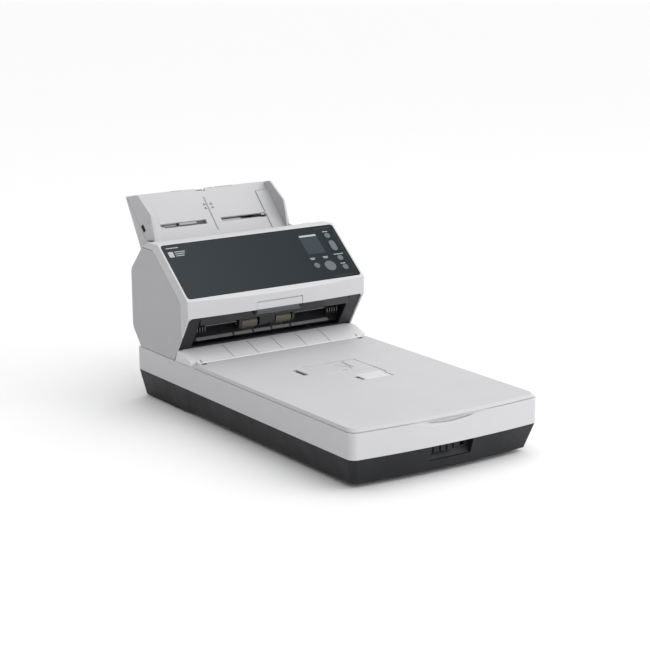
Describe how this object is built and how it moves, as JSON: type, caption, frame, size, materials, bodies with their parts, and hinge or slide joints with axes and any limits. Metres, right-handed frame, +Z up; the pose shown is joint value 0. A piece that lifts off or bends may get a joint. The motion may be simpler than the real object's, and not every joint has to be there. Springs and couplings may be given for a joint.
{
  "type": "sheet fed and flatbed document scanner",
  "caption": "Desktop document scanner with a flatbed under a hinged lid, an inclined sheet feeder with chute and guides, and a control panel.",
  "frame": {"origin": "centre of the footprint on the surface that the scanner stands on, at the middle of its bounding box", "axes": "+X to the right seen from the user's side, +Y to the back, along the scanner's length, +Z up"},
  "size_m": [0.3, 0.6401, 0.2901],
  "materials": {
    "dark_plastic": "matte",
    "rubber": "matte",
    "screw_steel": "plated",
    "white_plastic": "fine matte grain",
    "glass": "clear",
    "calibration_white": "plain",
    "steel": "ground",
    "inner_black": "satin black",
    "brass": "sintered",
    "motor_metal": "plated",
    "gear_white": "moulded",
    "belt": "ribbed",
    "board_green": "solder mask",
    "port_metal": "plated",
    "pad_white": "foam sheet",
    "panel_gloss": "glossy",
    "display_glass": "glossy",
    "roller_amber": "translucent",
    "key_grey": "satin"
  },
  "bodies": {
    "base": {"lower_case": "dark_plastic", "rubber_feet": "rubber", "case_screws": "screw_steel", "upper_housing": "white_plastic", "flatbed_glass": "glass", "calibration_strip": "calibration_white", "guide_rod": "steel", "guide_rail": "steel", "scan_motor": "motor_metal", "scan_belt": "belt", "main_board": "board_green", "power_inlet": "inner_black", "usb_port": "port_metal", "lid_hinge_arms": "dark_plastic", "hinge_pins": "steel", "left_side_cover": "white_plastic", "right_side_cover": "white_plastic", "rear_cover": "white_plastic", "mouth_frame": "dark_plastic", "exit_ramp": "white_plastic", "lower_guide": "inner_black", "lower_sensor": "inner_black", "feed_motor": "motor_metal", "paper_chute": "white_plastic", "chute_back_cover": "white_plastic"},
    "carriage": {"carriage_frame": "inner_black", "carriage_bushings": "brass", "carriage_lens": "glass"},
    "motor_pulley": {"motor_pulley": "gear_white"},
    "idler_pulley": {"idler_pulley": "gear_white"},
    "transport_lock": {"lock_slider": "dark_plastic"},
    "flatbed_lid": {"lid_shell": "white_plastic", "lid_inner": "white_plastic", "document_pad": "pad_white"},
    "stacker_stop": {"stacker_stop": "white_plastic"},
    "stacker_plate": {"stacker_plate": "white_plastic"},
    "pick_roller": {"pick_roller": "rubber"},
    "feed_roller": {"feed_roller": "rubber", "feed_gear": "gear_white"},
    "exit_roller": {"exit_roller": "rubber"},
    "left_guide": {"left_guide": "white_plastic"},
    "right_guide": {"right_guide": "white_plastic"},
    "guide_pinion": {"guide_pinion": "gear_white"},
    "chute_extension": {"chute_extension": "white_plastic"},
    "extension_tip": {"extension_tip": "white_plastic"},
    "feeder_cover": {"front_cover": "white_plastic", "control_panel": "panel_gloss", "display": "display_glass", "panel_board": "board_green", "upper_guide": "inner_black", "upper_sensor": "inner_black"},
    "brake_roller": {"brake_roller": "rubber"},
    "pinch_rollers": {"pinch_rollers": "roller_amber"},
    "release_tab": {"release_tab": "white_plastic"},
    "menu_key": {"menu_key": "key_grey"},
    "feed_key": {"feed_key": "key_grey"},
    "power_key": {"power_key": "key_grey"},
    "clear_key": {"clear_key": "key_grey"},
    "scan_key": {"scan_key": "key_grey"},
    "rocker_key": {"rocker_key": "key_grey"}
  },
  "joints": [
    {"name": "carriage_slide", "type": "slide", "parent": "base", "child": "carriage", "axis": [0, 1, 0], "range_m": [-0.235, 0.03]},
    {"name": "motor_pulley_spin", "type": "hinge", "parent": "base", "child": "motor_pulley", "pos_m": [-0.032, 0.1735, 0.027], "axis": [0, 0, 1], "continuous": true},
    {"name": "idler_pulley_spin", "type": "hinge", "parent": "base", "child": "idler_pulley", "pos_m": [-0.032, -0.2565, 0.027], "axis": [0, 0, 1], "continuous": true},
    {"name": "transport_lock_slide", "type": "slide", "parent": "base", "child": "transport_lock", "axis": [1, 0, 0], "range_m": [0, 0.0125]},
    {"name": "lid_hinge", "type": "hinge", "parent": "base", "child": "flatbed_lid", "pos_m": [0, 0.0781, 0.0789], "axis": [-1, 0, 0], "range_deg": [0, 65]},
    {"name": "stacker_stop_hinge", "type": "hinge", "parent": "flatbed_lid", "child": "stacker_stop", "pos_m": [0, -0.0697, 0.07885], "axis": [1, 0, 0], "range_deg": [0, 75]},
    {"name": "stacker_plate_hinge", "type": "hinge", "parent": "flatbed_lid", "child": "stacker_plate", "pos_m": [0, -0.0745, 0.0787], "axis": [-1, 0, 0], "range_deg": [0, 75]},
    {"name": "feed_roller_spin", "type": "hinge", "parent": "base", "child": "feed_roller", "pos_m": [0, 0.20367, 0.1616], "axis": [1, 0, 0], "continuous": true},
    {"name": "pick_roller_spin", "type": "hinge", "parent": "base", "child": "pick_roller", "pos_m": [0, 0.23597, 0.19435], "axis": [1, 0, 0], "continuous": true},
    {"name": "exit_roller_spin", "type": "hinge", "parent": "base", "child": "exit_roller", "pos_m": [0, 0.1461, 0.10321], "axis": [1, 0, 0], "continuous": true},
    {"name": "left_guide_slide", "type": "slide", "parent": "base", "child": "left_guide", "axis": [1, 0, 0], "range_m": [0, 0.07]},
    {"name": "right_guide_slide", "type": "slide", "parent": "base", "child": "right_guide", "axis": [1, 0, 0], "range_m": [-0.07, 0]},
    {"name": "guide_pinion_turn", "type": "hinge", "parent": "base", "child": "guide_pinion", "pos_m": [0, 0.27327, 0.23987], "axis": [0, -0.712, 0.7022], "range_deg": [0, 680]},
    {"name": "chute_extension_slide", "type": "slide", "parent": "base", "child": "chute_extension", "axis": [0, 0.7022, 0.712], "range_m": [0, 0.04]},
    {"name": "extension_tip_slide", "type": "slide", "parent": "chute_extension", "child": "extension_tip", "axis": [0, 0.7022, 0.712], "range_m": [0, 0.035]},
    {"name": "feeder_cover_hinge", "type": "hinge", "parent": "base", "child": "feeder_cover", "pos_m": [0, 0.2205, 0.23], "axis": [-1, 0, 0], "range_deg": [0, 60]},
    {"name": "brake_roller_spin", "type": "hinge", "parent": "feeder_cover", "child": "brake_roller", "pos_m": [0, 0.20586, 0.19315], "axis": [1, 0, 0], "continuous": true},
    {"name": "pinch_rollers_spin", "type": "hinge", "parent": "feeder_cover", "child": "pinch_rollers", "pos_m": [0, 0.13171, 0.1174], "axis": [1, 0, 0], "continuous": true},
    {"name": "release_tab_hinge", "type": "hinge", "parent": "feeder_cover", "child": "release_tab", "pos_m": [0, 0.0905, 0.154], "axis": [-1, 0, 0], "range_deg": [0, 10], "stiffness_Nm_per_rad": 0.4, "springref_deg": -1.72},
    {"name": "menu_key_press", "type": "slide", "parent": "feeder_cover", "child": "menu_key", "axis": [0, 0.6363, -0.7714], "range_m": [0, 0.0009], "stiffness_N_per_m": 500, "springref_m": -0.0002},
    {"name": "feed_key_press", "type": "slide", "parent": "feeder_cover", "child": "feed_key", "axis": [0, 0.6363, -0.7714], "range_m": [0, 0.0009], "stiffness_N_per_m": 500, "springref_m": -0.0002},
    {"name": "power_key_press", "type": "slide", "parent": "feeder_cover", "child": "power_key", "axis": [0, 0.6363, -0.7714], "range_m": [0, 0.0009], "stiffness_N_per_m": 500, "springref_m": -0.0002},
    {"name": "clear_key_press", "type": "slide", "parent": "feeder_cover", "child": "clear_key", "axis": [0, 0.6363, -0.7714], "range_m": [0, 0.0009], "stiffness_N_per_m": 500, "springref_m": -0.0002},
    {"name": "scan_key_press", "type": "slide", "parent": "feeder_cover", "child": "scan_key", "axis": [0, 0.6363, -0.7714], "range_m": [0, 0.0009], "stiffness_N_per_m": 500, "springref_m": -0.0002},
    {"name": "rocker_key_tilt", "type": "hinge", "parent": "feeder_cover", "child": "rocker_key", "pos_m": [0.1288, 0.14386, 0.20619], "axis": [1, 0, 0], "range_deg": [-2.5, 2.5], "stiffness_Nm_per_rad": 0.5}
  ],
  "couplings": [
    {"joint": "motor_pulley_spin", "follows": "carriage_slide", "rad_per_m": -120},
    {"joint": "idler_pulley_spin", "follows": "carriage_slide", "rad_per_m": -120},
    {"joint": "pick_roller_spin", "follows": "feed_roller_spin", "ratio": 1},
    {"joint": "exit_roller_spin", "follows": "feed_roller_spin", "ratio": 1},
    {"joint": "right_guide_slide", "follows": "left_guide_slide", "ratio": -1},
    {"joint": "guide_pinion_turn", "follows": "left_guide_slide", "rad_per_m": 166.67}
  ]
}
